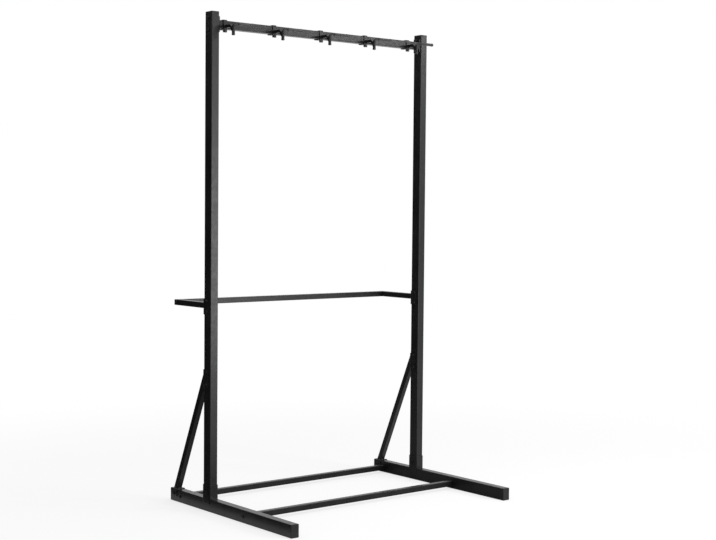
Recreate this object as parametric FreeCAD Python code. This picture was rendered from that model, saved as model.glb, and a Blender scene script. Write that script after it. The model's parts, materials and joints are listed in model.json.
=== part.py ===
import FreeCAD, Part
import math
import os

from FreeCAD import Vector

# Free-standing rack: two uprights on long feet carry a top bar with a row of hooks.
# X runs across the rack, the hooks reach out towards -Y, Z points up from the floor.
# The origin lies on the floor, midway between the two feet and midway along them.

# Overall size
RACK_HEIGHT = 2134.0
RACK_WIDTH = 1217.5
FOOT_LENGTH = 909.0

# Uprights: rectangular tubes, deeper than wide, that stand behind the middle of the feet
UPRIGHT_WIDTH = 38.1
UPRIGHT_DEPTH = 50.8
UPRIGHT_WALL = 2.0
UPRIGHT_CORNER = 3.0
FOOT_BEHIND_UPRIGHT = 294.5

# Feet: rectangular tubes that run from front to back, as wide as the uprights
FOOT_WIDTH = UPRIGHT_WIDTH
FOOT_HEIGHT = 55.0
FOOT_WALL = 2.5
FOOT_CORNER = 3.0

# Sockets welded on the feet, into which the uprights drop
SOCKET_HEIGHT = 60.0
SOCKET_CHEEK = 20.0
SOCKET_WALL = 2.9
SOCKET_CLEARANCE = 0.1

# Slim square tube of the lower bars and of the arms that carry the wheel bar
BAR_SIDE = 25.0
BAR_WALL = 2.0
BAR_CORNER = 2.5

# Stouter square tube of the top bar
TOP_BAR_SIDE = 35.0
TOP_BAR_WALL = 2.0
TOP_BAR_CORNER = 2.5

# Where the bars run, to their middle lines
TOP_BAR_DROP = 52.0
WHEEL_BAR_HEIGHT = 885.0
WHEEL_BAR_BEHIND_UPRIGHT = 263.0
FLOOR_BAR_HEIGHT = 26.0
REAR_FLOOR_BAR_INSET = 77.5
FRONT_FLOOR_BAR_AHEAD = 274.5

# Braces from the rear of the feet to the back of the uprights
BRACE_SIDE = 25.0
BRACE_WALL = 1.5
BRACE_CORNER = 2.0
BRACE_TOP_HEIGHT = 588.0
BRACE_FOOT_INSET = 30.5
BRACE_BOLT_SPACING = 57.0
BRACE_BOLT_RISE = 13.0

# Folded brackets that carry the braces and the arms
BRACKET_SHEET = 3.0
BRACKET_BEND = 1.0
BRACKET_EDGE = 10.0
BRACKET_DROP = 30.0
TONGUE_MARGIN = 3.0
ARM_BOLT_SPACING = 46.0
ARM_BOLT_RISE = 18.5

# Plates on the ends of the top bar
END_PLATE_SHEET = 6.0
END_PLATE_MARGIN = 3.0
END_PLATE_CORNER = 4.5
END_PLATE_EDGE = 8.0
END_PLATE_NUT_GAP = 0.5

# Plastic caps in the open tube ends
CAP_LIP = 4.0
CAP_DEPTH = 12.0
CAP_WALL = 2.0
CAP_CLEARANCE = 0.1
ARM_CAP_LIP = 3.0
ARM_CAP_SPARE = 1.0

# Bolts and nuts of the frame
BOLT_DIAMETER = 8.0
BOLT_PLAY = 0.6
BOLT_HEAD_DIAMETER = 14.0
BOLT_HEAD_HEIGHT = 4.4
BOLT_KEY = 5.0
BOLT_TAIL = 3.0
NUT_ACROSS = 13.0
NUT_HEIGHT = 6.5
THREAD_CLEARANCE = 0.05
PLUG_LENGTH = 20.0
PLUG_CORNER = 1.0
PLUG_SPARE = 4.0

# Row of hooks on the top bar, from the end plates to the clamps' middles
HOOK_COUNT = 5
FIRST_HOOK_ROOM = 27.4
LAST_HOOK_ROOM = 72.4

# Clamp of one hook: a plate hooked over the top bar and a keeper under it, held by one bolt
CLAMP_GAP = 0.3
CLAMP_PLATE = 3.0
CLAMP_WIDTH = 18.0
CLAMP_CORNER = 3.0
CLAMP_BEND = 3.0
CLAMP_LIP = 10.0
CLAMP_EDGE = 6.5
KEEPER_RISE = 8.0
CLAMP_BOLT_DIAMETER = 6.0
CLAMP_BOLT_PLAY = 0.4
CLAMP_BOLT_SPARE = 0.5
CLAMP_HEAD_DIAMETER = 10.5
CLAMP_HEAD_HEIGHT = 3.3
CLAMP_KEY = 4.0
CLAMP_NUT_ACROSS = 10.0
CLAMP_NUT_HEIGHT = 5.0
CLAMP_BOLT_TAIL = 2.0

# Arm and barrel of one hook
ARM_SHEET = 8.0
ARM_DROP = 2.0
ARM_DEPTH = 13.0
ARM_SLOPE = 14.0
PIVOT_REACH = 82.0
BARREL_WALL = 2.0
BARREL_LENGTH = 29.0
BARREL_FOOT = 8.0

# Peg of one hook: a rod that turns in the barrel, with a soft grip
ROD_DIAMETER = 9.5
ROD_BEND = 13.0
PIVOT_CLEARANCE = 0.05
PIVOT_END_PLAY = 0.3
COLLAR_HEIGHT = 4.0
WASHER_SHEET = 1.5
PEG_NUT_ACROSS = 14.3
PEG_NUT_HEIGHT = 5.6
PEG_TAIL = 1.2
PEG_LENGTH = 104.0
GRIP_START = 24.0
GRIP_WALL = 1.75
GRIP_BULGE = 1.0
GRIP_END_WALL = 4.0

# Places in the frame that follow from the sizes above
SIDES = {"left": -1, "right": 1}
FOOT_REAR = FOOT_LENGTH / 2
FOOT_MIDDLE = FOOT_HEIGHT / 2
UPRIGHT_X = (RACK_WIDTH - UPRIGHT_WIDTH) / 2
UPRIGHT_Y = FOOT_REAR - FOOT_BEHIND_UPRIGHT
UPRIGHT_BACK = UPRIGHT_Y + UPRIGHT_DEPTH / 2
BRACKET_BACK = UPRIGHT_BACK + BRACKET_SHEET
TOP_BAR_HEIGHT = RACK_HEIGHT - TOP_BAR_DROP
TOP_BAR_HALF = UPRIGHT_X - UPRIGHT_WIDTH / 2 - END_PLATE_SHEET
WHEEL_BAR_Y = UPRIGHT_Y + WHEEL_BAR_BEHIND_UPRIGHT
REAR_FLOOR_BAR_Y = FOOT_REAR - REAR_FLOOR_BAR_INSET
FRONT_FLOOR_BAR_Y = UPRIGHT_Y - FRONT_FLOOR_BAR_AHEAD
BRACE_FOOT_Y = FOOT_REAR - BRACE_FOOT_INSET
BRACE_RUN = BRACE_FOOT_Y - BRACKET_BACK
BRACE_RISE = BRACE_TOP_HEIGHT - FOOT_HEIGHT - BRACKET_SHEET
BRACE_LEAN = math.atan2(BRACE_RUN, BRACE_RISE)
SOCKET_OPENING = UPRIGHT_WIDTH + 2 * SOCKET_CLEARANCE
SOCKET_WIDTH = SOCKET_OPENING + 2 * SOCKET_WALL
SOCKET_DEPTH = UPRIGHT_DEPTH + 2 * (SOCKET_CLEARANCE + SOCKET_WALL)

# Bolts of the frame, by the height or place at which they cross it
BOLT_HOLE = BOLT_DIAMETER + BOLT_PLAY
SOCKET_BOLT = FOOT_HEIGHT + SOCKET_HEIGHT / 2
BRACE_BOLTS = [BRACE_TOP_HEIGHT + BRACE_BOLT_RISE - drop for drop in (BRACE_BOLT_SPACING, 0)]
ARM_BOLTS = [WHEEL_BAR_HEIGHT + ARM_BOLT_RISE - drop for drop in (ARM_BOLT_SPACING, 0)]
END_PLATE_BOLT_RISE = TOP_BAR_SIDE / 2 + NUT_ACROSS / math.sqrt(3) + END_PLATE_NUT_GAP
END_PLATE_BOLTS = [TOP_BAR_HEIGHT + half * END_PLATE_BOLT_RISE for half in (-1, 1)]
BRACE_FOOT_BOLT = FOOT_HEIGHT - BRACKET_DROP + BRACKET_EDGE
ARM_CAP_DEPTH = BAR_SIDE / 2 - BOLT_HOLE / 2 - ARM_CAP_SPARE

# Places in one hook, measured from the middle of the top bar
HOOK_PITCH = (2 * TOP_BAR_HALF - FIRST_HOOK_ROOM - LAST_HOOK_ROOM) / (HOOK_COUNT - 1)
CLAMP_FACE = TOP_BAR_SIDE / 2 + CLAMP_GAP
CLAMP_OUTSIDE = CLAMP_FACE + CLAMP_PLATE
ARM_BOTTOM = -ARM_DROP - ARM_DEPTH
HEAD_ROOM = ARM_BOTTOM - CLAMP_HEAD_DIAMETER / 2
NUT_ROOM = -CLAMP_OUTSIDE - CLAMP_NUT_ACROSS / 2
CLAMP_BOLT = min(HEAD_ROOM, NUT_ROOM) - CLAMP_BOLT_SPARE
CLAMP_BOTTOM = CLAMP_BOLT - CLAMP_EDGE
CLAMP_GRIP = 2 * CLAMP_PLATE
BARREL_RADIUS = ROD_DIAMETER / 2 + PIVOT_CLEARANCE + BARREL_WALL
BARREL_TOP = -ROD_BEND
BARREL_BOTTOM = BARREL_TOP - BARREL_LENGTH
PEG_NUT_TOP = BARREL_BOTTOM - PIVOT_END_PLAY - WASHER_SHEET
ROD_BOTTOM = PEG_NUT_TOP - PEG_NUT_HEIGHT - PEG_TAIL
ROD_END = PEG_LENGTH - GRIP_END_WALL

# Turns that lay a piece made along +Z in another direction
AS_MADE = FreeCAD.Rotation()
ALONG_X = FreeCAD.Rotation(Vector(0, 1, 0), 90)
ALONG_Y = FreeCAD.Rotation(Vector(1, 0, 0), -90)
ALONG_MINUS_Y = FreeCAD.Rotation(Vector(1, 0, 0), 90)
HALF_TURN = FreeCAD.Rotation(Vector(0, 0, 1), 180)
UPSIDE_DOWN = FreeCAD.Rotation(Vector(1, 0, 0), 180)


def placed(shape, x, y, z, rotation=AS_MADE):
    """Copy of a shape, turned about its own origin and then moved."""
    copy = shape.copy()
    copy.Placement = FreeCAD.Placement(Vector(x, y, z), rotation).multiply(copy.Placement)
    return copy


def rounded_block(width, depth, height, corner):
    """Block standing on Z = 0 around the Z axis, with its four upright edges rounded."""
    block = Part.makeBox(width, depth, height, Vector(-width / 2, -depth / 2, 0))
    edges = [edge for edge in block.Edges if edge.BoundBox.ZLength > height / 2]
    return block.makeFillet(corner, edges)


def tube(width, depth, wall, corner, length):
    """Hollow rectangular tube standing on Z = 0 around the Z axis."""
    outside = rounded_block(width, depth, length, corner)
    inside = rounded_block(width - 2 * wall, depth - 2 * wall, length, max(corner - wall, wall / 4))
    return outside.cut(inside)


def plate(outline, thickness):
    """Flat plate across X, centred on X = 0, with its outline given as (Y, Z) corners."""
    corners = [Vector(-thickness / 2, y, z) for y, z in outline + outline[:1]]
    return Part.Face(Part.makePolygon(corners)).extrude(Vector(thickness, 0, 0))


def drilled(shape, x, places):
    """Shape with bolt holes drilled along X through the tube whose middle is at x."""
    reach = 2 * max(UPRIGHT_WIDTH, FOOT_WIDTH)
    drills = [
        Part.makeCylinder(BOLT_HOLE / 2, 2 * reach, Vector(x - reach, y, z), Vector(1, 0, 0))
        for y, z in places
    ]
    return shape.cut(Part.makeCompound(drills))


def hexagon(across, height):
    """Hexagonal prism on Z = 0, with its upper corners turned off like a nut's."""
    radius = across / math.sqrt(3)
    angles = [math.radians(60 * turn) for turn in range(7)]
    corners = [Vector(radius * math.cos(angle), radius * math.sin(angle), 0) for angle in angles]
    prism = Part.Face(Part.makePolygon(corners)).extrude(Vector(0, 0, height))
    blank = Part.makeCylinder(radius, height)
    rim = [edge for edge in blank.Edges if edge.BoundBox.ZMin > height / 2]
    return prism.common(blank.makeChamfer(radius - across / 2, rim))


def bolt(diameter, length, head_diameter, head_height, key):
    """Round-headed bolt: the head sits below Z = 0 and the shank runs up from it."""
    head = Part.makeCylinder(head_diameter / 2, head_height, Vector(0, 0, -head_height))
    rim = [edge for edge in head.Edges if edge.BoundBox.ZMax < -head_height / 2]
    head = head.makeFillet(head_height / 2, rim)
    key_hole = placed(hexagon(key, head_height / 2), 0, 0, -head_height)
    shank = Part.makeCylinder(diameter / 2, length)
    return head.cut(key_hole).fuse(shank).removeSplitter()


def nut(across, height, bolt_diameter):
    """Hexagonal nut that stands on Z = 0."""
    hole = Part.makeCylinder(bolt_diameter / 2 + THREAD_CLEARANCE, height)
    return hexagon(across, height).cut(hole)


def frame_bolt(length):
    """Bolt of the frame, running along +X from the seat of its head."""
    shape = bolt(BOLT_DIAMETER, length, BOLT_HEAD_DIAMETER, BOLT_HEAD_HEIGHT, BOLT_KEY)
    return placed(shape, 0, 0, 0, ALONG_X)


def tube_cap(width, depth, wall, corner, lip, reach):
    """Plastic cap: the lip lies above Z = 0 and the hollow plug reaches down from it."""
    inset = 2 * (wall + CAP_CLEARANCE)
    plug = tube(width - inset, depth - inset, CAP_WALL, corner, reach)
    head = rounded_block(width, depth, lip, corner)
    rim = [edge for edge in head.Edges if edge.BoundBox.ZMin > lip / 2]
    head = head.makeFillet(lip / 3, rim)
    return head.fuse(placed(plug, 0, 0, -reach)).removeSplitter()


def saddle(inner_width, reach, height):
    """Folded sheet in a U: the web's inner face lies on Y = 0 and the sides run towards -Y."""
    outer_width = inner_width + 2 * BRACKET_SHEET
    outer_depth = 2 * (reach + BRACKET_SHEET)
    outside = rounded_block(outer_width, outer_depth, height, BRACKET_BEND + BRACKET_SHEET)
    inside = rounded_block(inner_width, 2 * reach, height, BRACKET_BEND)
    rear_half = Part.makeBox(outer_width, outer_depth, height, Vector(-outer_width / 2, 0, 0))
    return placed(outside.cut(inside).common(rear_half), 0, -reach, 0)


def make_upright(side):
    """Upright tube on its foot, with the holes for every bolt that crosses it."""
    x = side * UPRIGHT_X
    length = RACK_HEIGHT - CAP_LIP - FOOT_HEIGHT
    shape = tube(UPRIGHT_WIDTH, UPRIGHT_DEPTH, UPRIGHT_WALL, UPRIGHT_CORNER, length)
    heights = [SOCKET_BOLT] + BRACE_BOLTS + ARM_BOLTS + END_PLATE_BOLTS
    holes = [(UPRIGHT_Y, height) for height in heights]
    return drilled(placed(shape, x, UPRIGHT_Y, FOOT_HEIGHT), x, holes)


def make_upright_caps():
    """Caps in the top ends of both uprights."""
    cap = tube_cap(UPRIGHT_WIDTH, UPRIGHT_DEPTH, UPRIGHT_WALL, UPRIGHT_CORNER, CAP_LIP, CAP_DEPTH)
    top = RACK_HEIGHT - CAP_LIP
    return [placed(cap, side * UPRIGHT_X, UPRIGHT_Y, top) for side in SIDES.values()]


def make_foot(side):
    """Foot tube along Y, with the holes for the floor bars and for the brace."""
    x = side * UPRIGHT_X
    length = FOOT_LENGTH - 2 * CAP_LIP
    shape = tube(FOOT_WIDTH, FOOT_HEIGHT, FOOT_WALL, FOOT_CORNER, length)
    holes = [
        (REAR_FLOOR_BAR_Y, FLOOR_BAR_HEIGHT),
        (FRONT_FLOOR_BAR_Y, FLOOR_BAR_HEIGHT),
        (BRACE_FOOT_Y, BRACE_FOOT_BOLT),
    ]
    return drilled(placed(shape, x, -length / 2, FOOT_MIDDLE, ALONG_Y), x, holes)


def make_foot_caps():
    """Caps in the front and rear ends of both feet."""
    cap = tube_cap(FOOT_WIDTH, FOOT_HEIGHT, FOOT_WALL, FOOT_CORNER, CAP_LIP, CAP_DEPTH)
    end = FOOT_LENGTH / 2 - CAP_LIP
    caps = []
    for side in SIDES.values():
        caps.append(placed(cap, side * UPRIGHT_X, end, FOOT_MIDDLE, ALONG_Y))
        caps.append(placed(cap, side * UPRIGHT_X, -end, FOOT_MIDDLE, ALONG_MINUS_Y))
    return caps


def make_socket(side):
    """Sleeve that holds the bottom of the upright, with a cheek down each side of the foot."""
    x = side * UPRIGHT_X
    corner = UPRIGHT_CORNER + SOCKET_WALL
    length = SOCKET_HEIGHT + SOCKET_CHEEK
    sleeve = tube(SOCKET_WIDTH, SOCKET_DEPTH, SOCKET_WALL, corner, length)
    opening_corner = Vector(-SOCKET_OPENING / 2, -SOCKET_DEPTH / 2, 0)
    opening = Part.makeBox(SOCKET_OPENING, SOCKET_DEPTH, SOCKET_CHEEK, opening_corner)
    shape = placed(sleeve.cut(opening), x, UPRIGHT_Y, FOOT_HEIGHT - SOCKET_CHEEK)
    return drilled(shape, x, [(UPRIGHT_Y, SOCKET_BOLT)])


def make_brace(side):
    """Leaning tube, cut off square to the upright at its top and level at its foot."""
    x = side * UPRIGHT_X
    length = math.hypot(BRACE_RUN, BRACE_RISE) + 4 * BRACE_SIDE
    stock = tube(BRACE_SIDE, BRACE_SIDE, BRACE_WALL, BRACE_CORNER, length)
    leaning = FreeCAD.Rotation(Vector(1, 0, 0), math.degrees(BRACE_LEAN))
    middle_y = BRACKET_BACK + BRACE_RUN / 2
    middle_z = BRACE_TOP_HEIGHT - BRACE_RISE / 2
    stock = placed(placed(stock, 0, 0, -length / 2), x, middle_y, middle_z, leaning)
    corner = Vector(x - BRACE_SIDE, BRACKET_BACK, BRACE_TOP_HEIGHT - BRACE_RISE)
    return stock.common(Part.makeBox(2 * BRACE_SIDE, 2 * BRACE_RUN, 2 * BRACE_RISE, corner))


def upright_bracket(side, bolts):
    """Bracket around the back of an upright, held by bolts at the given heights."""
    x = side * UPRIGHT_X
    reach = UPRIGHT_DEPTH / 2 + BRACKET_EDGE
    bottom = min(bolts) - BRACKET_EDGE
    height = max(bolts) + BRACKET_EDGE - bottom
    shape = placed(saddle(UPRIGHT_WIDTH, reach, height), x, UPRIGHT_BACK, bottom)
    return drilled(shape, x, [(UPRIGHT_Y, bolt_height) for bolt_height in bolts])


def make_brace_upper_bracket(side):
    """Bracket at the upright with a tongue behind the whole end of the brace."""
    width = BRACE_SIDE + 2 * TONGUE_MARGIN
    height = BRACE_SIDE / math.sin(BRACE_LEAN) + 2 * TONGUE_MARGIN
    corner = Vector(side * UPRIGHT_X - width / 2, UPRIGHT_BACK, BRACE_TOP_HEIGHT - height / 2)
    tongue = Part.makeBox(width, BRACKET_SHEET, height, corner)
    return upright_bracket(side, BRACE_BOLTS).fuse(tongue).removeSplitter()


def make_brace_lower_bracket(side):
    """Bracket over the top of the foot that covers the whole lower end of the brace."""
    x = side * UPRIGHT_X
    length = BRACE_SIDE / math.cos(BRACE_LEAN) + 2 * BRACKET_EDGE
    shape = saddle(FOOT_WIDTH, BRACKET_DROP, length)
    shape = placed(shape, x, BRACE_FOOT_Y + length / 2, FOOT_HEIGHT, ALONG_MINUS_Y)
    return drilled(shape, x, [(BRACE_FOOT_Y, BRACE_FOOT_BOLT)])


def make_wheel_arm_bracket(side):
    """Bracket at the upright that carries the arm."""
    return upright_bracket(side, ARM_BOLTS)


def make_wheel_arm(side):
    """Arm that runs back from its bracket to the wheel bar."""
    x = side * UPRIGHT_X
    length = WHEEL_BAR_Y + BAR_SIDE / 2 - BRACKET_BACK
    shape = tube(BAR_SIDE, BAR_SIDE, BAR_WALL, BAR_CORNER, length)
    shape = placed(shape, x, BRACKET_BACK, WHEEL_BAR_HEIGHT, ALONG_Y)
    return drilled(shape, x, [(WHEEL_BAR_Y, WHEEL_BAR_HEIGHT)])


def make_wheel_arm_caps():
    """Caps in the rear ends of both arms."""
    cap = tube_cap(BAR_SIDE, BAR_SIDE, BAR_WALL, BAR_CORNER, ARM_CAP_LIP, ARM_CAP_DEPTH)
    end = WHEEL_BAR_Y + BAR_SIDE / 2
    return [placed(cap, side * UPRIGHT_X, end, WHEEL_BAR_HEIGHT, ALONG_Y) for side in SIDES.values()]


def make_bar(half_length, y, z):
    """Slim bar across the rack, centred on X = 0."""
    shape = tube(BAR_SIDE, BAR_SIDE, BAR_WALL, BAR_CORNER, 2 * half_length)
    return placed(shape, -half_length, y, z, ALONG_X)


def make_top_bar():
    """Stout bar between the end plates, on which the hooks slide."""
    shape = tube(TOP_BAR_SIDE, TOP_BAR_SIDE, TOP_BAR_WALL, TOP_BAR_CORNER, 2 * TOP_BAR_HALF)
    return placed(shape, -TOP_BAR_HALF, UPRIGHT_Y, TOP_BAR_HEIGHT, ALONG_X)


def make_end_plate(side):
    """Plate that joins the top bar to the inner face of an upright."""
    height = 2 * (END_PLATE_BOLT_RISE + END_PLATE_EDGE)
    width = TOP_BAR_SIDE + 2 * END_PLATE_MARGIN
    shape = rounded_block(height, width, END_PLATE_SHEET, END_PLATE_CORNER)
    middle = side * (TOP_BAR_HALF + END_PLATE_SHEET / 2)
    shape = placed(shape, middle - END_PLATE_SHEET / 2, UPRIGHT_Y, TOP_BAR_HEIGHT, ALONG_X)
    return drilled(shape, middle, [(UPRIGHT_Y, height) for height in END_PLATE_BOLTS])


def frame_bolt_seats():
    """Seat and clamped thickness of every bolt that is pushed through from the left."""
    bracketed = UPRIGHT_WIDTH + 2 * BRACKET_SHEET
    plated = UPRIGHT_WIDTH + END_PLATE_SHEET
    footed = FOOT_WIDTH + 2 * BRACKET_SHEET
    seats = []
    for side in SIDES.values():
        x = side * UPRIGHT_X
        crossings = [
            (x, UPRIGHT_Y, SOCKET_BOLT, SOCKET_WIDTH),
            (x, BRACE_FOOT_Y, BRACE_FOOT_BOLT, footed),
        ]
        crossings += [(x, UPRIGHT_Y, height, bracketed) for height in BRACE_BOLTS + ARM_BOLTS]
        plated_x = x - side * END_PLATE_SHEET / 2
        crossings += [(plated_x, UPRIGHT_Y, height, plated) for height in END_PLATE_BOLTS]
        seats += [(Vector(middle - grip / 2, y, z), grip) for middle, y, z, grip in crossings]
    return seats


def make_frame_bolts():
    """Bolts with their heads on the left of what they clamp."""
    return [
        placed(frame_bolt(grip + NUT_HEIGHT + BOLT_TAIL), seat.x, seat.y, seat.z)
        for seat, grip in frame_bolt_seats()
    ]


def make_frame_nuts():
    """Nuts on the right of what the bolts clamp."""
    shape = nut(NUT_ACROSS, NUT_HEIGHT, BOLT_DIAMETER)
    return [placed(shape, seat.x + grip, seat.y, seat.z, ALONG_X) for seat, grip in frame_bolt_seats()]


def plugged_bars():
    """Half length, Y and Z of each bar that is bolted at its ends, and the width of the tube beside it."""
    between_feet = UPRIGHT_X - FOOT_WIDTH / 2
    between_arms = UPRIGHT_X - BAR_SIDE / 2
    return {
        "rear_floor_bar": (between_feet, REAR_FLOOR_BAR_Y, FLOOR_BAR_HEIGHT, FOOT_WIDTH),
        "front_floor_bar": (between_feet, FRONT_FLOOR_BAR_Y, FLOOR_BAR_HEIGHT, FOOT_WIDTH),
        "wheel_bar": (between_arms, WHEEL_BAR_Y, WHEEL_BAR_HEIGHT, BAR_SIDE),
    }


def make_bar_plugs():
    """Threaded blocks welded into the ends of the bars."""
    inside = BAR_SIDE - 2 * BAR_WALL
    thread = Part.makeCylinder(BOLT_DIAMETER / 2 + THREAD_CLEARANCE, PLUG_LENGTH)
    plug = rounded_block(inside, inside, PLUG_LENGTH, PLUG_CORNER).cut(thread)
    plugs = []
    for half_length, y, z, _ in plugged_bars().values():
        plugs.append(placed(plug, -half_length, y, z, ALONG_X))
        plugs.append(placed(plug, half_length - PLUG_LENGTH, y, z, ALONG_X))
    return plugs


def make_bar_bolts():
    """Bolts that cross a foot or an arm and end in a bar's plug."""
    bolts = []
    for half_length, y, z, beside in plugged_bars().values():
        shape = frame_bolt(beside + PLUG_LENGTH - PLUG_SPARE)
        bolts.append(placed(shape, -half_length - beside, y, z))
        bolts.append(placed(shape, half_length + beside, y, z, HALF_TURN))
    return bolts


def clamp_strip(outline, bends):
    """Strip of sheet folded along an outline, rounded at its bends and drilled for the clamp's bolt."""
    strip = plate(outline, CLAMP_WIDTH)
    spots = [Vector(0, y, z) for y, z in bends]
    bent = [
        edge for edge in strip.Edges
        if any(edge.CenterOfMass.isEqual(spot, CLAMP_GAP) for spot in spots)
    ]
    strip = strip.makeFillet(CLAMP_BEND, bent)
    lowest = [
        edge for edge in strip.Edges
        if edge.BoundBox.ZMax < CLAMP_BOLT and edge.BoundBox.YLength > CLAMP_PLATE / 2
    ]
    strip = strip.makeFillet(CLAMP_CORNER, lowest)
    radius = (CLAMP_BOLT_DIAMETER + CLAMP_BOLT_PLAY) / 2
    seat = Vector(0, -CLAMP_OUTSIDE, CLAMP_BOLT)
    return strip.cut(Part.makeCylinder(radius, CLAMP_GRIP, seat, Vector(0, 1, 0)))


def hook_arm():
    """Plate hooked over the top bar, with the arm and the upright barrel welded to its front."""
    lip_end = CLAMP_FACE - CLAMP_LIP
    hooked_plate = clamp_strip([
        (-CLAMP_OUTSIDE, CLAMP_BOTTOM),
        (-CLAMP_FACE, CLAMP_BOTTOM),
        (-CLAMP_FACE, CLAMP_FACE),
        (CLAMP_FACE, CLAMP_FACE),
        (CLAMP_FACE, lip_end),
        (CLAMP_OUTSIDE, lip_end),
        (CLAMP_OUTSIDE, CLAMP_OUTSIDE),
        (-CLAMP_OUTSIDE, CLAMP_OUTSIDE),
    ], [(-CLAMP_OUTSIDE, CLAMP_OUTSIDE), (CLAMP_OUTSIDE, CLAMP_OUTSIDE)])
    barrel_face = BARREL_RADIUS - PIVOT_REACH
    shoulder = BARREL_TOP - PIVOT_END_PLAY
    web = plate([
        (-CLAMP_OUTSIDE, -ARM_DROP),
        (barrel_face + ARM_SLOPE, -ARM_DROP),
        (barrel_face, shoulder),
        (-PIVOT_REACH, shoulder),
        (-PIVOT_REACH, BARREL_BOTTOM + BARREL_FOOT),
        (barrel_face, BARREL_BOTTOM + BARREL_FOOT),
        (barrel_face + ARM_SLOPE, ARM_BOTTOM),
        (-CLAMP_OUTSIDE, ARM_BOTTOM),
    ], ARM_SHEET)
    base = Vector(0, -PIVOT_REACH, BARREL_BOTTOM)
    barrel = Part.makeCylinder(BARREL_RADIUS, BARREL_LENGTH, base)
    bore = Part.makeCylinder(ROD_DIAMETER / 2 + PIVOT_CLEARANCE, BARREL_LENGTH, base)
    return hooked_plate.fuse([web, barrel]).cut(bore).removeSplitter()


def hook_keeper():
    """Strip under the top bar, folded up behind it and down along the back of the hooked plate."""
    inner_face = CLAMP_PLATE - CLAMP_FACE
    rise_end = KEEPER_RISE - CLAMP_FACE
    return clamp_strip([
        (-CLAMP_FACE, CLAMP_BOTTOM),
        (inner_face, CLAMP_BOTTOM),
        (inner_face, -CLAMP_OUTSIDE),
        (CLAMP_OUTSIDE, -CLAMP_OUTSIDE),
        (CLAMP_OUTSIDE, rise_end),
        (CLAMP_FACE, rise_end),
        (CLAMP_FACE, -CLAMP_FACE),
        (-CLAMP_FACE, -CLAMP_FACE),
    ], [(-CLAMP_FACE, -CLAMP_FACE), (CLAMP_OUTSIDE, -CLAMP_OUTSIDE)])


def hook_clamp_bolt():
    """Bolt and nut that hold the keeper to the hooked plate, below the top bar."""
    length = CLAMP_GRIP + CLAMP_NUT_HEIGHT + CLAMP_BOLT_TAIL
    one_bolt = bolt(CLAMP_BOLT_DIAMETER, length, CLAMP_HEAD_DIAMETER, CLAMP_HEAD_HEIGHT, CLAMP_KEY)
    one_nut = nut(CLAMP_NUT_ACROSS, CLAMP_NUT_HEIGHT, CLAMP_BOLT_DIAMETER)
    return Part.makeCompound([
        placed(one_bolt, 0, -CLAMP_OUTSIDE, CLAMP_BOLT, ALONG_Y),
        placed(one_nut, 0, CLAMP_GRIP - CLAMP_OUTSIDE, CLAMP_BOLT, ALONG_Y),
    ])


def hook_peg():
    """Bent rod: an upright leg in the barrel, a bend and a level run towards +X."""
    diagonal = ROD_BEND * (1 - math.sqrt(0.5))
    bend_start = Vector(0, 0, -ROD_BEND)
    bend_middle = Vector(diagonal, 0, -diagonal)
    bend_end = Vector(ROD_BEND, 0, 0)
    leg_foot = Vector(0, 0, ROD_BOTTOM)
    path = Part.Wire([
        Part.makeLine(leg_foot, bend_start),
        Part.Arc(bend_start, bend_middle, bend_end).toShape(),
        Part.makeLine(bend_end, Vector(ROD_END, 0, 0)),
    ])
    section = Part.Wire(Part.makeCircle(ROD_DIAMETER / 2, leg_foot, Vector(0, 0, 1)))
    rod = path.makePipeShell([section], True, False)
    collar_foot = Vector(0, 0, BARREL_TOP + PIVOT_END_PLAY)
    collar = Part.makeCylinder(BARREL_RADIUS, COLLAR_HEIGHT, collar_foot)
    return placed(rod.fuse(collar).removeSplitter(), 0, -PIVOT_REACH, 0)


def hook_grip():
    """Soft sleeve over the level run, closed by a small round bulb at its tip."""
    along = Vector(1, 0, 0)
    start = Vector(GRIP_START, 0, 0)
    sleeve_radius = ROD_DIAMETER / 2 + GRIP_WALL
    bulb_radius = sleeve_radius + GRIP_BULGE
    bulb_middle = PEG_LENGTH - bulb_radius
    sleeve = Part.makeCylinder(sleeve_radius, bulb_middle - GRIP_START, start, along)
    bulb = Part.makeSphere(bulb_radius, Vector(bulb_middle, 0, 0))
    bore = Part.makeCylinder(ROD_DIAMETER / 2, ROD_END - GRIP_START, start, along)
    return placed(sleeve.fuse(bulb).cut(bore).removeSplitter(), 0, -PIVOT_REACH, 0)


def hook_retainer():
    """Washer and nut on the lower end of the peg's leg."""
    hole = Part.makeCylinder(ROD_DIAMETER / 2 + THREAD_CLEARANCE, WASHER_SHEET)
    washer = Part.makeCylinder(BARREL_RADIUS, WASHER_SHEET).cut(hole)
    lock_nut = nut(PEG_NUT_ACROSS, PEG_NUT_HEIGHT, ROD_DIAMETER)
    return Part.makeCompound([
        placed(washer, 0, -PIVOT_REACH, PEG_NUT_TOP),
        placed(lock_nut, 0, -PIVOT_REACH, PEG_NUT_TOP, UPSIDE_DOWN),
    ])


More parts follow.
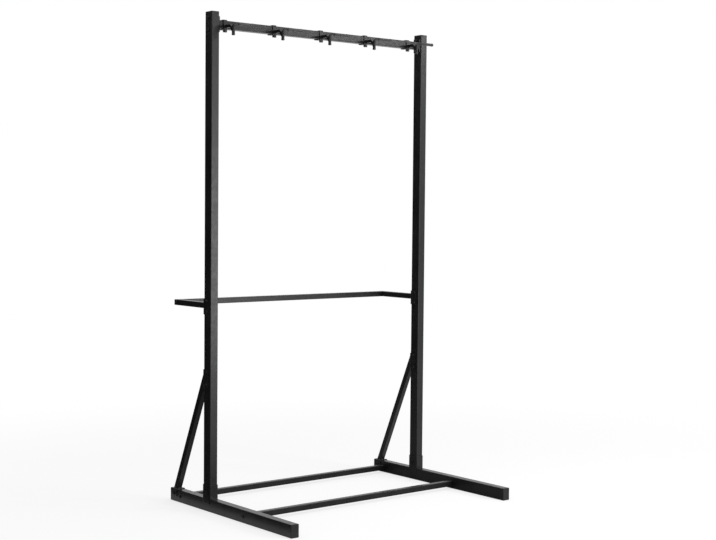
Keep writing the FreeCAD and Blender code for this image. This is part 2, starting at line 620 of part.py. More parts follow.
def frame_parts():
    """Pieces of the frame by name."""
    parts = {
        "upright_caps": Part.makeCompound(make_upright_caps()),
        "foot_caps": Part.makeCompound(make_foot_caps()),
        "wheel_arm_caps": Part.makeCompound(make_wheel_arm_caps()),
        "frame_bolts": Part.makeCompound(make_frame_bolts()),
        "frame_nuts": Part.makeCompound(make_frame_nuts()),
        "bar_bolts": Part.makeCompound(make_bar_bolts()),
        "bar_plugs": Part.makeCompound(make_bar_plugs()),
        "top_bar": make_top_bar(),
    }
    for name, (half_length, y, z, _) in plugged_bars().items():
        parts[name] = make_bar(half_length, y, z)
    sided = {
        "upright": make_upright,
        "foot": make_foot,
        "socket": make_socket,
        "brace": make_brace,
        "brace_upper_bracket": make_brace_upper_bracket,
        "brace_lower_bracket": make_brace_lower_bracket,
        "wheel_arm_bracket": make_wheel_arm_bracket,
        "wheel_arm": make_wheel_arm,
        "top_bar_end_plate": make_end_plate,
    }
    for side_name, side in SIDES.items():
        for piece, make in sided.items():
            parts[f"{side_name}_{piece}"] = make(side)
    return parts


def hook_parts():
    """Pieces of every hook by name, moved to their places along the top bar."""
    pieces = {
        "arm": hook_arm(),
        "keeper": hook_keeper(),
        "clamp_bolt": hook_clamp_bolt(),
        "peg": hook_peg(),
        "grip": hook_grip(),
        "retainer": hook_retainer(),
    }
    parts = {}
    for number in range(1, HOOK_COUNT + 1):
        x = FIRST_HOOK_ROOM - TOP_BAR_HALF + (number - 1) * HOOK_PITCH
        for piece, shape in pieces.items():
            parts[f"hook_{number}_{piece}"] = placed(shape, x, UPRIGHT_Y, TOP_BAR_HEIGHT)
    return parts


os.makedirs("parts", exist_ok=True)
for node, shape in {**frame_parts(), **hook_parts()}.items():
    shape.exportStep(f"parts/{node}.step")
    print(node, "solids:", len(shape.Solids), "valid:", shape.isValid())
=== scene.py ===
# %% [markdown]
# The rack arrives as a finished steel frame with five hooks, measured in metres, with its
# origin on the floor between the two feet. Every later cell dresses that frame and leaves its
# shape alone.

# %% Load the rack
import json
import math

import bmesh
import bpy
from mathutils import Matrix, Vector


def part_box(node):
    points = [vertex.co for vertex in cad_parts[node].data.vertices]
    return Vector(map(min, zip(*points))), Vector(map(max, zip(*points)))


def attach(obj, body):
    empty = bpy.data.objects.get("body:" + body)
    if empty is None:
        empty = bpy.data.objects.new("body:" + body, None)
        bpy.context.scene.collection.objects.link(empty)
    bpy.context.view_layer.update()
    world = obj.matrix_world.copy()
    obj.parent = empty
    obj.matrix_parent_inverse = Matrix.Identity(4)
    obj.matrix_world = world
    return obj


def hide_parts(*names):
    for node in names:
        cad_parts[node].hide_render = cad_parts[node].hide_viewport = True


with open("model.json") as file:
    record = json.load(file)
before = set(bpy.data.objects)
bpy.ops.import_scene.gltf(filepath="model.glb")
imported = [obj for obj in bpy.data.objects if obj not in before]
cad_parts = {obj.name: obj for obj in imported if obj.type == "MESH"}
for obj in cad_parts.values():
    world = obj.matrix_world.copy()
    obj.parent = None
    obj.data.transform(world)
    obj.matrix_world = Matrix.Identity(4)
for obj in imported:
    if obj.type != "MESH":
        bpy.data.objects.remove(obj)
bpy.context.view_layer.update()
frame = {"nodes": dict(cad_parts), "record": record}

# %% [markdown]
# The picture shows the rack from its front left corner, with the eye at chest height. A camera
# could be turned towards a target, but a target can't say how far the picture leans. Here the
# three angles are given, and the camera's own axes are built from them one after the other.

# %% Place the camera
CAMERA_PLACE = Vector((-3.7828, -4.7691, 1.3056))
CAMERA_YAW = math.radians(39.063)
CAMERA_PITCH = math.radians(-2.569)
CAMERA_ROLL = math.radians(0.516)
PICTURE_WIDTH = 716
FOCAL_LENGTH_IN_PIXELS = 1368.1

ahead = Vector((math.sin(CAMERA_YAW), math.cos(CAMERA_YAW), 0)) * math.cos(CAMERA_PITCH)
ahead.z = math.sin(CAMERA_PITCH)
level_right = Vector((math.cos(CAMERA_YAW), -math.sin(CAMERA_YAW), 0))
level_up = level_right.cross(ahead)
right = level_right * math.cos(CAMERA_ROLL) + level_up * math.sin(CAMERA_ROLL)
up = level_up * math.cos(CAMERA_ROLL) - level_right * math.sin(CAMERA_ROLL)
turn = Matrix((right, up, -ahead)).transposed().to_4x4()

camera = bpy.data.objects.new("camera", bpy.data.cameras.new("camera"))
camera.data.lens = FOCAL_LENGTH_IN_PIXELS / PICTURE_WIDTH * camera.data.sensor_width
camera.matrix_world = Matrix.Translation(CAMERA_PLACE) @ turn
bpy.context.scene.collection.objects.link(camera)
bpy.context.scene.camera = camera
print("camera lens", round(camera.data.lens, 2), "mm")

# %% [markdown]
# The rack stands in a plain white studio. The world lights it evenly at a modest level, and only
# the rays that the eye follows, directly or in a reflection, see the wall as full white. A brighter
# world would give the same white, but it would wash out the black paint.

# %% White studio wall
AMBIENT_LEVEL = 0.4


def grey(level):
    """Neutral colour of a level between black, 0, and white, 1."""
    return (level, level, level, 1)


def seen_ray(tree):
    """Socket that is 1 for rays that show the background: straight, mirrored or through glass."""
    path = tree.nodes.new("ShaderNodeLightPath")
    seen = path.outputs["Is Camera Ray"]
    for kind in ("Is Glossy Ray", "Is Transmission Ray"):
        either = tree.nodes.new("ShaderNodeMath")
        either.operation = "MAXIMUM"
        tree.links.new(seen, either.inputs[0])
        tree.links.new(path.outputs[kind], either.inputs[1])
        seen = either.outputs[0]
    return seen


def join_shaders(tree, share, first, second):
    """Shader that goes from the first to the second as the share goes from 0 to 1."""
    mix = tree.nodes.new("ShaderNodeMixShader")
    tree.links.new(share, mix.inputs[0])
    tree.links.new(first, mix.inputs[1])
    tree.links.new(second, mix.inputs[2])
    return mix.outputs[0]


world = bpy.data.worlds.new("white_studio")
world.use_nodes = True
bpy.context.scene.world = world
wall_tree = world.node_tree
ambient = wall_tree.nodes["Background"]
ambient.inputs["Color"].default_value = grey(1)
ambient.inputs["Strength"].default_value = AMBIENT_LEVEL
white_wall = wall_tree.nodes.new("ShaderNodeBackground")
white_wall.inputs["Color"].default_value = grey(1)
wall = join_shaders(wall_tree, seen_ray(wall_tree), ambient.outputs[0], white_wall.outputs[0])
wall_tree.links.new(wall, wall_tree.nodes["World Output"].inputs["Surface"])
bpy.context.scene.view_settings.view_transform = "Standard"
print("wall white to the eye, light level", AMBIENT_LEVEL)

# %% [markdown]
# The floor is one pale sheet. Near the rack it takes a soft shadow, so that the feet stand on
# something, and further out it fades to the white of the wall, which hides the horizon. Plain white
# paint would turn grey wherever less light falls. Here a steady glow makes most of the white, and a
# thin tint that does take light and shade is laid over it.

# %% Pale floor
FLOOR_SIZE = 60
FLOOR_BOUNCE = 0.8
FLOOR_TINT = 0.4
FLOOR_GLOW = 0.72
SHADOW_START = 1.0
SHADOW_END = 3.5


def floor_finish():
    """Pale floor that keeps the rack's shadow and fades to white around it."""
    material = bpy.data.materials.new("pale_floor")
    material.use_nodes = True
    tree = material.node_tree
    tree.nodes.remove(tree.nodes["Principled BSDF"])
    card = tree.nodes.new("ShaderNodeBsdfDiffuse")
    card.inputs["Color"].default_value = grey(FLOOR_BOUNCE)
    tint = tree.nodes.new("ShaderNodeBsdfDiffuse")
    tint.inputs["Color"].default_value = grey(FLOOR_TINT)
    glow = tree.nodes.new("ShaderNodeEmission")
    glow.inputs["Strength"].default_value = FLOOR_GLOW
    white = tree.nodes.new("ShaderNodeEmission")
    shadowed = tree.nodes.new("ShaderNodeAddShader")
    tree.links.new(tint.outputs[0], shadowed.inputs[0])
    tree.links.new(glow.outputs[0], shadowed.inputs[1])
    place = tree.nodes.new("ShaderNodeTexCoord")
    distance = tree.nodes.new("ShaderNodeVectorMath")
    distance.operation = "LENGTH"
    tree.links.new(place.outputs["Object"], distance.inputs[0])
    fade = tree.nodes.new("ShaderNodeMapRange")
    fade.interpolation_type = "SMOOTHSTEP"
    fade.inputs["From Min"].default_value = SHADOW_START
    fade.inputs["From Max"].default_value = SHADOW_END
    tree.links.new(distance.outputs["Value"], fade.inputs["Value"])
    shown = join_shaders(tree, fade.outputs[0], shadowed.outputs[0], white.outputs[0])
    floor = join_shaders(tree, seen_ray(tree), card.outputs[0], shown)
    tree.links.new(floor, tree.nodes["Material Output"].inputs["Surface"])
    return material


def make_floor():
    """Square floor under the rack."""
    mesh = bmesh.new()
    bmesh.ops.create_grid(mesh, x_segments=1, y_segments=1, size=FLOOR_SIZE / 2)
    data = bpy.data.meshes.new("floor")
    mesh.to_mesh(data)
    mesh.free()
    floor = bpy.data.objects.new("floor", data)
    data.materials.append(floor_finish())
    bpy.context.scene.collection.objects.link(floor)
    return floor


make_floor()
print("floor", FLOOR_SIZE, "m wide")

# %% [markdown]
# In the picture the fronts of the tubes are grey and their left sides nearly black, on one and the
# same paint. That is a large soft lamp to the front right: the satin fronts mirror it to the eye,
# and the left sides mirror the dark of the room. A bare bulb would only leave a bright dot on each
# tube, while a wide panel fills the whole face. The top bar hangs too high to mirror that lamp, so
# it has a lamp of its own, higher and further right. A third lamp overhead lifts the upper faces.

# %% Soft studio lamps
def soft_lamp(name, place, target, width, height, power):
    """Rectangular lamp that faces a point."""
    light = bpy.data.lights.new(name, "AREA")
    light.shape = "RECTANGLE"
    light.size = width
    light.size_y = height
    light.energy = power
    lamp = bpy.data.objects.new(name, light)
    lamp.location = place
    lamp.rotation_euler = (Vector(target) - Vector(place)).to_track_quat("-Z", "Y").to_euler()
    lamp.visible_camera = False
    bpy.context.scene.collection.objects.link(lamp)
    print(name, power, "W over", round(width * height, 2), "square metres")


soft_lamp(
    "front_softbox", place=(1.6, -3.75, 1.05), target=(-0.5, 0.15, 1.05), width=1.2, height=1.6, power=70
)
soft_lamp(
    "high_softbox", place=(3.45, -3.75, 2.9), target=(0, 0.15, 2.08), width=1.2, height=0.5, power=40
)
soft_lamp(
    "overhead_softbox", place=(0.2, -0.6, 4.6), target=(0, 0.1, 1.0), width=2.6, height=2.6, power=30
)

# %% [markdown]
# A white room would still shine in the left sides and in the low faces near the floor. Studios keep
# such faces dark with cloth just outside the picture: here one black cloth hangs behind and one to the
# left, where those sides mirror them, and a third lies on the floor beside the left foot. The cloth
# between the feet is grey, because the right foot's side is dark grey in the picture, not black. They
# show in reflections only, so they take no light from the rack and never stand in front of another view.

# %% Cloths around the rack
BLACK_FELT = 0.01
GREY_FELT = 0.5
CLOTH_LEFT = -4.6
CLOTH_FRONT = -0.7
CLOTH_BACK = 4.6
CLOTH_TOP = 3.4
CLOTH_LIFT = 0.004
BARE_STRIP = 0.06


def felt_finish(name, level):
    """Dull felt of one grey level."""
    material = bpy.data.materials.new(name)
    material.use_nodes = True
    felt = material.node_tree.nodes["Principled BSDF"]
    felt.inputs["Base Color"].default_value = grey(level)
    felt.inputs["Roughness"].default_value = 1.0
    felt.inputs["Specular IOR Level"].default_value = 0.0
    return material


def laid_cloth(left, right):
    """Corners of a cloth on the floor, between two places across the rack."""
    spots = ((left, CLOTH_FRONT), (right, CLOTH_FRONT), (right, CLOTH_BACK), (left, CLOTH_BACK))
    return [(x, y, CLOTH_LIFT) for x, y in spots]


def hung_cloth(first, second):
    """Corners of a cloth that hangs upright over a line between two places on the floor."""
    return [(*first, CLOTH_LIFT), (*second, CLOTH_LIFT), (*second, CLOTH_TOP), (*first, CLOTH_TOP)]


def add_cloth(name, corners, material):
    """Flat cloth that only mirrored rays see."""
    mesh = bmesh.new()
    mesh.faces.new([mesh.verts.new(corner) for corner in corners])
    data = bpy.data.meshes.new(name)
    mesh.to_mesh(data)
    mesh.free()
    data.materials.append(material)
    cloth = bpy.data.objects.new(name, data)
    cloth.visible_camera = False
    cloth.visible_diffuse = False
    cloth.visible_shadow = False
    bpy.context.scene.collection.objects.link(cloth)
    print(name, round(data.polygons[0].area, 1), "square metres")


foot_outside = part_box("left_foot")[0].x
foot_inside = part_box("left_foot")[1].x
black_felt = felt_finish("black_felt", BLACK_FELT)
grey_felt = felt_finish("grey_felt", GREY_FELT)
beside_rack = foot_outside - BARE_STRIP
add_cloth("left_cloth", hung_cloth((CLOTH_LEFT, CLOTH_FRONT), (CLOTH_LEFT, CLOTH_BACK)), black_felt)
add_cloth("back_cloth", hung_cloth((CLOTH_LEFT, CLOTH_BACK), (beside_rack, CLOTH_BACK)), black_felt)
add_cloth("side_cloth", laid_cloth(CLOTH_LEFT, beside_rack), black_felt)
add_cloth("middle_cloth", laid_cloth(foot_inside + BARE_STRIP, -foot_inside), grey_felt)

# %% [markdown]
# A finish starts from the principled shader and a few textures laid over the piece in metres, so
# that a grain has the same size on a long tube and on a small plate. These helpers make a noise of
# a given grain, turn it into a pair of tones or a span of values, and raise it as a relief. The last
# one finds sharp edges, where a normal that was rounded off leans away from the true one.

# %% Helpers for finishes
MIX_COLOURS = (6, 7)
MIX_RESULT = 2
EDGE_RAYS = 6
EDGE_MATCH = 0.8
FLAT_MATCH = 0.99


def start_finish(name):
    """New material and its node tree and shader."""
    material = bpy.data.materials.new(name)
    material.use_nodes = True
    return material, material.node_tree, material.node_tree.nodes["Principled BSDF"]


def grain(tree, size, detail=2.0):
    """Noise with patches about size metres wide, fixed to the piece."""
    place = tree.nodes.new("ShaderNodeTexCoord")
    noise = tree.nodes.new("ShaderNodeTexNoise")
    noise.inputs["Scale"].default_value = 1 / size
    noise.inputs["Detail"].default_value = detail
    tree.links.new(place.outputs["Object"], noise.inputs["Vector"])
    return noise.outputs[0]


def span(tree, value, low, high, start=0.3, end=0.7):
    """Value stretched from its usual spread, start to end, to the span from low to high."""
    stretch = tree.nodes.new("ShaderNodeMapRange")
    stretch.inputs["From Min"].default_value = start
    stretch.inputs["From Max"].default_value = end
    stretch.inputs["To Min"].default_value = low
    stretch.inputs["To Max"].default_value = high
    tree.links.new(value, stretch.inputs["Value"])
    return stretch.outputs[0]


def tones(tree, share, first, second):
    """Colour that goes from the first tone to the second as the share goes from 0 to 1."""
    mix = tree.nodes.new("ShaderNodeMix")
    mix.data_type = "RGBA"
    tree.links.new(share, mix.inputs[0])
    for place, tone in zip(MIX_COLOURS, (first, second)):
        if isinstance(tone, bpy.types.NodeSocket):
            tree.links.new(tone, mix.inputs[place])
        else:
            mix.inputs[place].default_value = (*tone, 1)
    return mix.outputs[MIX_RESULT]


def relief(tree, height, depth, below=None):
    """Normal of a surface raised by a height between 0 and 1, depth metres deep."""
    bump = tree.nodes.new("ShaderNodeBump")
    bump.inputs["Distance"].default_value = depth
    tree.links.new(height, bump.inputs["Height"])
    if below is not None:
        tree.links.new(below, bump.inputs["Normal"])
    return bump.outputs["Normal"]


def edges_for_wear_and_sheen(tree, width):
    """Share that is 1 on sharp edges and 0 on flat faces, and the softened normal there."""
    bevel = tree.nodes.new("ShaderNodeBevel")
    bevel.samples = EDGE_RAYS
    bevel.inputs["Radius"].default_value = width
    surface = tree.nodes.new("ShaderNodeNewGeometry")
    match = tree.nodes.new("ShaderNodeVectorMath")
    match.operation = "DOT_PRODUCT"
    tree.links.new(bevel.outputs["Normal"], match.inputs[0])
    tree.links.new(surface.outputs["Normal"], match.inputs[1])
    edge = span(tree, match.outputs["Value"], low=1.0, high=0.0, start=EDGE_MATCH, end=FLAT_MATCH)
    return edge, bevel.outputs["Normal"]


print("finish helpers ready")

# %% [markdown]
# The tubes, plates and hooks wear a satin black powder coat. Baked powder flows into a faint orange
# peel with a finer grain in it, never quite evenly, and it draws back a little from sharp edges,
# which look paler and smoother there. The paler edge colour is partly that thinner coat and partly a
# painted highlight. A picture of paint could be wrapped around the pieces, but it would need a cut
# for every tube. Noise in the piece's own space needs none.

# %% Black powder coat
COAT_DARK = (0.0105, 0.0105, 0.0116)
COAT_PALE = (0.0165, 0.0165, 0.018)
# Colour of the sharp edges: thinner coat with a painted highlight laid over it.
COAT_THIN_AND_SHEEN = (0.06, 0.06, 0.062)


def powder_coat():
    """Satin black coat with orange peel, fine grain, and edges paler from thinner coat and a painted
    highlight.
    """
    material, tree, shader = start_finish("black_powder_coat")
    edge, softened = edges_for_wear_and_sheen(tree, width=0.0008)
    patches = span(tree, grain(tree, size=0.09), low=0.0, high=1.0)
    black = tones(tree, patches, COAT_DARK, COAT_PALE)
    # The edges turn paler, partly for the thinner coat there and partly as a painted highlight.
    thin_coat_and_sheen = span(tree, edge, low=0.0, high=0.5, start=0.0, end=1.0)
    tree.links.new(tones(tree, thin_coat_and_sheen, black, COAT_THIN_AND_SHEEN), shader.inputs["Base Color"])
    satin = span(tree, grain(tree, size=0.02, detail=4), low=0.28, high=0.36)
    tree.links.new(satin, shader.inputs["Roughness"])
    peel = relief(tree, grain(tree, size=0.0022), depth=0.00006, below=softened)
    fine = relief(tree, grain(tree, size=0.0005), depth=0.00002, below=peel)
    tree.links.new(fine, shader.inputs["Normal"])
    shader.inputs["Specular IOR Level"].default_value = 0.26
    return material


coat = powder_coat()
print(coat.name, "with", len(coat.node_tree.nodes), "nodes")

# %% [markdown]
# Bolts, nuts and washers are steel blackened in a hot bath. The layer is thin and oily, so the metal
# still shines through it, with faint brown and blue clouds and a little bare metal on the corners.
# Black paint would do from afar, but beside the coat it is the metallic shine that tells them apart.

# %% Blackened fasteners
OXIDE_BROWN = (0.030, 0.027, 0.025)
OXIDE_BLUE = (0.040, 0.042, 0.048)
BARE_STEEL = (0.16, 0.155, 0.15)


def blackened_steel():
    """Dark metal with faint clouds of brown and blue and rubbed corners."""
    material, tree, shader = start_finish("blackened_steel")
    edge, softened = edges_for_wear_and_sheen(tree, width=0.0004)
    clouds = span(tree, grain(tree, size=0.004, detail=3), low=0.0, high=1.0)
    oxide = tones(tree, clouds, OXIDE_BROWN, OXIDE_BLUE)
    rubbed = span(tree, edge, low=0.0, high=0.45, start=0.0, end=1.0)
    tree.links.new(tones(tree, rubbed, oxide, BARE_STEEL), shader.inputs["Base Color"])
    oily = span(tree, grain(tree, size=0.0012, detail=4), low=0.28, high=0.45)
    tree.links.new(oily, shader.inputs["Roughness"])
    etched = relief(tree, grain(tree, size=0.0004), depth=0.00001, below=softened)
    tree.links.new(etched, shader.inputs["Normal"])
    shader.inputs["Metallic"].default_value = 0.9
    return material


fastener = blackened_steel()
print(fastener.name, "with", len(fastener.node_tree.nodes), "nodes")

# %% [markdown]
# The caps in the tube ends are moulded in black plastic. Their mould was etched to a fine sand
# texture, which scatters the light and makes them duller than the coat beside them. Sand this fine
# would take millions of faces as a mesh, so it is a shallow relief in the finish.

# %% Moulded plastic caps
PLASTIC_DARK = (0.010, 0.010, 0.010)
PLASTIC_PALE = (0.016, 0.016, 0.017)


def cap_plastic():
    """Dull black plastic with an etched sand texture."""
    material, tree, shader = start_finish("cap_plastic")
    flow = span(tree, grain(tree, size=0.012), low=0.0, high=1.0)
    tree.links.new(tones(tree, flow, PLASTIC_DARK, PLASTIC_PALE), shader.inputs["Base Color"])
    dull = span(tree, grain(tree, size=0.0015), low=0.5, high=0.62)
    tree.links.new(dull, shader.inputs["Roughness"])
    sand = relief(tree, grain(tree, size=0.00045, detail=1), depth=0.00004)
    tree.links.new(sand, shader.inputs["Normal"])
    shader.inputs["Specular IOR Level"].default_value = 0.22
    return material


plastic = cap_plastic()
print(plastic.name, "with", len(plastic.node_tree.nodes), "nodes")

# %% [markdown]
# The pegs were dipped in soft black vinyl. It sets smooth, with slow waves from the dip, and its
# upper side is scuffed to a paler, rougher track by the loads that are lifted on and off. The track
# could be painted on each peg by hand. Here the upward part of the normal finds it on all of them.

# %% Dipped vinyl
VINYL_BLACK = (0.012, 0.012, 0.013)
VINYL_SCUFFED = (0.04, 0.039, 0.038)


def dipped_vinyl():
    """Soft black vinyl with slow waves and a scuffed upper side."""
    material, tree, shader = start_finish("dipped_vinyl")
    surface = tree.nodes.new("ShaderNodeNewGeometry")
    parts = tree.nodes.new("ShaderNodeSeparateXYZ")
    tree.links.new(surface.outputs["Normal"], parts.inputs[0])
    upper = span(tree, parts.outputs["Z"], low=0.0, high=1.0, start=0.55, end=0.95)
    scuff = tree.nodes.new("ShaderNodeMath")
    scuff.operation = "MULTIPLY"
    tree.links.new(upper, scuff.inputs[0])
    scratches = span(tree, grain(tree, size=0.003, detail=5), low=0.0, high=1.0, start=0.42, end=0.62)
    tree.links.new(scratches, scuff.inputs[1])
    worn = scuff.outputs[0]
    tree.links.new(tones(tree, worn, VINYL_BLACK, VINYL_SCUFFED), shader.inputs["Base Color"])
    rough = span(tree, worn, low=0.34, high=0.6, start=0.0, end=1.0)
    tree.links.new(rough, shader.inputs["Roughness"])
    waves = relief(tree, grain(tree, size=0.008, detail=1), depth=0.0002)
    fine = relief(tree, grain(tree, size=0.0006), depth=0.00002, below=waves)
    tree.links.new(fine, shader.inputs["Normal"])
    return material


vinyl = dipped_vinyl()
print(vinyl.name, "with", len(vinyl.node_tree.nodes), "nodes")

# %% [markdown]
# Each piece of the frame already knows which finish it takes: the record lists a slot for every piece.
# The materials above are hung on the pieces by those names, so no piece is forgotten.

# %% Dress the frame
FINISHES = {
    "black_coat": coat,
    "black_fastener": fastener,
    "cap_plastic": plastic,
    "grip_rubber": vinyl,
}

for subpart in frame["record"]["subparts"]:
    piece = frame["nodes"][subpart["node"]]
    piece.data.materials.clear()
    piece.data.materials.append(FINISHES[subpart["material_slot"]])

# %% [markdown]
# New pieces are built as meshes, given their finish and tied to the part of the rack that carries
# them, so that they move with it. This helper does that once for all of them.

# %% Helper for new pieces
def add_piece(name, mesh, slot, body):
    """Object from a mesh, smooth, in its slot's finish, riding on a body of the rack."""
    bmesh.ops.recalc_face_normals(mesh, faces=mesh.faces)
    for face in mesh.faces:
        face.smooth = True
    data = bpy.data.meshes.new(name)
    mesh.to_mesh(data)
    mesh.free()
    data.materials.append(FINISHES[slot])
    piece = bpy.data.objects.new(name, data)
    bpy.context.scene.collection.objects.link(piece)
    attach(piece, body)
    print(name, "rides on", body, "with", len(data.polygons), "faces")
    return piece


print("piece helper ready")

# %% [markdown]
# The steel pieces are joined by short runs of weld, which show through the paint as rows of small
# overlapping ripples. A tube along a curve would be quicker, but it has no ripples. Here each run is
# a stack of rings that swell and step back once per ripple and close to a point at both ends.

# %% Weld runs
WELD_RADIUS = 0.0021
WELD_PITCH = 0.0019
WELD_STEPS = 5
WELD_SWELL = 0.16
WELD_SIDES = 10


def weld_radius(travel, length, radius):
    """Radius of a run at a place along it, with ripples and rounded ends."""
    to_end = min(travel, length - travel)
    taper = min(1.0, to_end / (2 * radius))
    ripple = 1 - WELD_SWELL * (travel / WELD_PITCH % 1)
    return radius * ripple * math.sqrt(1 - (1 - taper) ** 2)


def join_rings(mesh, rings, first_tip, last_tip):
    """Skin over a row of rings, closed by a tip at each end."""
    sides = len(rings[0])
    for side in range(sides):
        following = (side + 1) % sides
        mesh.faces.new((first_tip, rings[0][following], rings[0][side]))
        mesh.faces.new((last_tip, rings[-1][side], rings[-1][following]))
        for ring, other in zip(rings, rings[1:]):
            mesh.faces.new((ring[side], ring[following], other[following], other[side]))


def weld_run(mesh, start, end, radius=WELD_RADIUS):
    """One straight run of weld between two points."""
    start = Vector(start)
    end = Vector(end)
    length = (end - start).length
    along = (end - start).normalized()
    across = along.orthogonal().normalized()
    over = along.cross(across)
    count = round(length / WELD_PITCH * WELD_STEPS)
    rings = []
    for step in range(1, count):
        travel = length * step / count
        ring_radius = weld_radius(travel, length, radius)
        ring = []
        for side in range(WELD_SIDES):
            angle = 2 * math.pi * side / WELD_SIDES
            out = across * math.cos(angle) + over * math.sin(angle)
            ring.append(mesh.verts.new(start + along * travel + out * ring_radius))
        rings.append(ring)
    join_rings(mesh, rings, mesh.verts.new(start), mesh.verts.new(end))


print("weld ripples every", WELD_PITCH * 1000, "mm")

# %% [markdown]
# On each side the frame has four welded places: the socket on the foot, the two ends of the brace on
# their brackets, and the arm on its bracket. Their corners could be typed in, but they are read from
# the pieces themselves, so the runs follow when a size of the rack changes.

# %% Welds of the two sides
Y, Z = 1, 2
PLANE_REACH = 0.0002
TUBE_CORNER = 0.0015
SOCKET_EDGE = 0.006


def end_face(node, axis, value):
    """Lowest and highest corner of the part of a piece that lies on a plane across an axis."""
    corners = frame["nodes"][node].data.vertices
    spots = [corner.co for corner in corners if abs(corner.co[axis] - value) < PLANE_REACH]
    low = Vector([min(spot[i] for spot in spots) for i in range(3)])
    high = Vector([max(spot[i] for spot in spots) for i in range(3)])
    return low, high


def weld_around(mesh, low, high):
    """Four runs around the flat end of a tube, each stopping at the rounded edges."""
    flat = min(range(3), key=lambda axis: high[axis] - low[axis])
    first, second = [axis for axis in range(3) if axis != flat]
    for axis, other in ((first, second), (second, first)):
        for side in (low, high):
            start = low.copy()
            end = high.copy()
            start[other] = end[other] = side[other]
            start[flat] = end[flat] = (low[flat] + high[flat]) / 2
            start[axis] += TUBE_CORNER
            end[axis] -= TUBE_CORNER
            weld_run(mesh, start, end)


def socket_welds(side):
    """Runs in front of and behind the socket, on the top of the foot, and under both its cheeks."""
    mesh = bmesh.new()
    low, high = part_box(f"{side}_socket")
    foot_low, foot_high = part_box(f"{side}_foot")
    for y in (low.y, high.y):
        start = (foot_low.x + SOCKET_EDGE, y, foot_high.z)
        weld_run(mesh, start, (foot_high.x - SOCKET_EDGE, y, foot_high.z))
    for x in (foot_low.x, foot_high.x):
        weld_run(mesh, (x, low.y + SOCKET_EDGE, low.z), (x, high.y - SOCKET_EDGE, low.z))
    add_piece(f"{side}_socket_welds", mesh, "black_coat", "frame")


def brace_welds(side):
    """Runs around both cut ends of the brace."""
    mesh = bmesh.new()
    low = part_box(f"{side}_brace")[0]
    weld_around(mesh, *end_face(f"{side}_brace", Y, low.y))
    weld_around(mesh, *end_face(f"{side}_brace", Z, low.z))
    add_piece(f"{side}_brace_welds", mesh, "black_coat", "frame")


def wheel_arm_welds(side):
    """Runs around the front end of the arm."""
    mesh = bmesh.new()
    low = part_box(f"{side}_wheel_arm")[0]
    weld_around(mesh, *end_face(f"{side}_wheel_arm", Y, low.y))
    add_piece(f"{side}_wheel_arm_welds", mesh, "black_coat", "frame")


for side in ("left", "right"):
    socket_welds(side)
    brace_welds(side)
    wheel_arm_welds(side)

# %% [markdown]
# The top bar ends in two plates, and each hook is a hooked plate, an arm and a barrel. The hooks'
# welds are finer, because their pieces are small. The five hooks are alike, so one function takes
# each hook's own boxes and lays its runs beside the arm.

# %% Welds of the top bar and the hooks
HOOKS = range(1, 6)
HOOK_WELD_RADIUS = 0.0013
ARM_SHEET = 0.008
PLATE_WELD = (0.002, 0.015)
BARREL_WELD = (0.016, 0.033)


def top_bar_welds():
    """Upright runs at both ends of the top bar; nuts leave no room for runs above and below it."""
    mesh = bmesh.new()
    low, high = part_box("top_bar")
    for x in (low.x, high.x):
        for y in (low.y, high.y):
            weld_run(mesh, (x, y, low.z + TUBE_CORNER), (x, y, high.z - TUBE_CORNER))
    add_piece("top_bar_welds", mesh, "black_coat", "frame")


def hook_welds(number):
    """Runs beside the arm of a hook, at its plate and at its barrel."""
    mesh = bmesh.new()
    arm_low, arm_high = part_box(f"hook_{number}_arm")
    peg_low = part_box(f"hook_{number}_peg")[0]
    bar_low, bar_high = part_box("top_bar")
    middle_x = (arm_low.x + arm_high.x) / 2
    bar_middle = (bar_low.z + bar_high.z) / 2
    # The hooked plate reaches as far in front of the bar as behind it
    plate_face = bar_low.y + bar_high.y - arm_high.y
    # The peg's collar is as wide as the barrel under it
    barrel_radius = middle_x - peg_low.x
    barrel_face = arm_low.y + barrel_radius + math.sqrt(barrel_radius**2 - (ARM_SHEET / 2) ** 2)
    for x in (middle_x - ARM_SHEET / 2, middle_x + ARM_SHEET / 2):
        for y, drops in ((plate_face, PLATE_WELD), (barrel_face, BARREL_WELD)):
            start, end = [(x, y, bar_middle - drop) for drop in drops]
            weld_run(mesh, start, end, HOOK_WELD_RADIUS)
    add_piece(f"hook_{number}_welds", mesh, "black_coat", f"hook_{number}_clamp")


top_bar_welds()
for number in HOOKS:
    hook_welds(number)

# %% [markdown]
# The soft sleeves on the pegs are plain cylinders with a ball in the frame. A dipped sleeve has a
# rounded lip at its open end and flows into its bulb, so each one is turned here from a profile, as
# on a lathe, and stands in for the plain one.

# %% Vinyl grips
GRIP_SIDES = 48
SLEEVE_RADIUS = 0.0065
ROD_RADIUS = 0.00475
BULB_RADIUS = 0.0075
LIP_LENGTH = 0.0058
LIP_ROUND = 0.001
LIP_RISE = 0.0005
NECK_START = 0.012
NECK_END = 0.002
TIP_WALL = 0.004
PROFILE_STEPS = 8


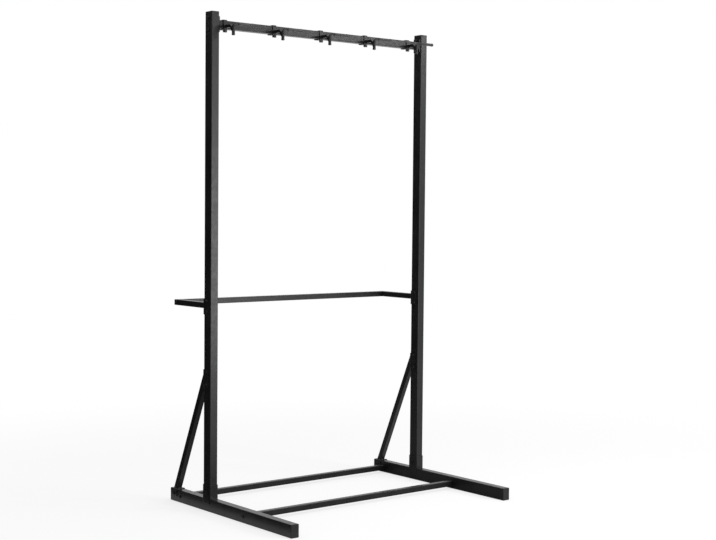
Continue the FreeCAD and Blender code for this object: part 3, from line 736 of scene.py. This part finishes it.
def lip_radius(share):
    """Radius over the rounded bead at the sleeve's open end."""
    rounding = LIP_ROUND * (1 - math.sin(math.pi / 2 * share))
    return SLEEVE_RADIUS - rounding + LIP_RISE * math.sin(math.pi * share)


def neck_radius(share, end, end_slope):
    """Radius that leaves the sleeve level and meets the bulb at its slope."""
    square = share * share
    cube = square * share
    return SLEEVE_RADIUS + (end - SLEEVE_RADIUS) * (3 * square - 2 * cube) + end_slope * (cube - square)


def grip_profile(length):
    """Distance along the grip and radius, from the bottom of the bore over the lip to the bulb."""
    shares = [step / PROFILE_STEPS for step in range(PROFILE_STEPS)]
    bulb = length - BULB_RADIUS
    profile = [(length - TIP_WALL, ROD_RADIUS), (0.0, ROD_RADIUS)]
    profile += [(LIP_LENGTH * share, lip_radius(share)) for share in shares + [1.0]]
    ball_start = math.sqrt(BULB_RADIUS**2 - NECK_END**2)
    neck_length = NECK_START - NECK_END
    slope = NECK_END / ball_start * neck_length
    for share in shares:
        place = bulb - NECK_START + share * neck_length
        profile.append((place, neck_radius(share, ball_start, slope)))
    first_angle = math.acos(NECK_END / BULB_RADIUS)
    for share in shares:
        angle = (math.pi - first_angle) * (1 - share)
        profile.append((bulb + BULB_RADIUS * math.cos(angle), BULB_RADIUS * math.sin(angle)))
    return profile


def turned_grip(number):
    """Grip of one hook, turned about the level run of its peg."""
    low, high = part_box(f"hook_{number}_grip")
    middle_y = (low.y + high.y) / 2
    middle_z = (low.z + high.z) / 2
    mesh = bmesh.new()
    rings = []
    for place, radius in grip_profile(high.x - low.x):
        ring = []
        for side in range(GRIP_SIDES):
            angle = 2 * math.pi * side / GRIP_SIDES
            y = middle_y + radius * math.cos(angle)
            z = middle_z + radius * math.sin(angle)
            ring.append(mesh.verts.new((low.x + place, y, z)))
        rings.append(ring)
    bore_bottom = mesh.verts.new((high.x - TIP_WALL, middle_y, middle_z))
    tip = mesh.verts.new((high.x, middle_y, middle_z))
    join_rings(mesh, rings, bore_bottom, tip)
    grip = add_piece(f"hook_{number}_vinyl_grip", mesh, "grip_rubber", f"hook_{number}_swivel")
    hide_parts(f"hook_{number}_grip")


for number in HOOKS:
    turned_grip(number)
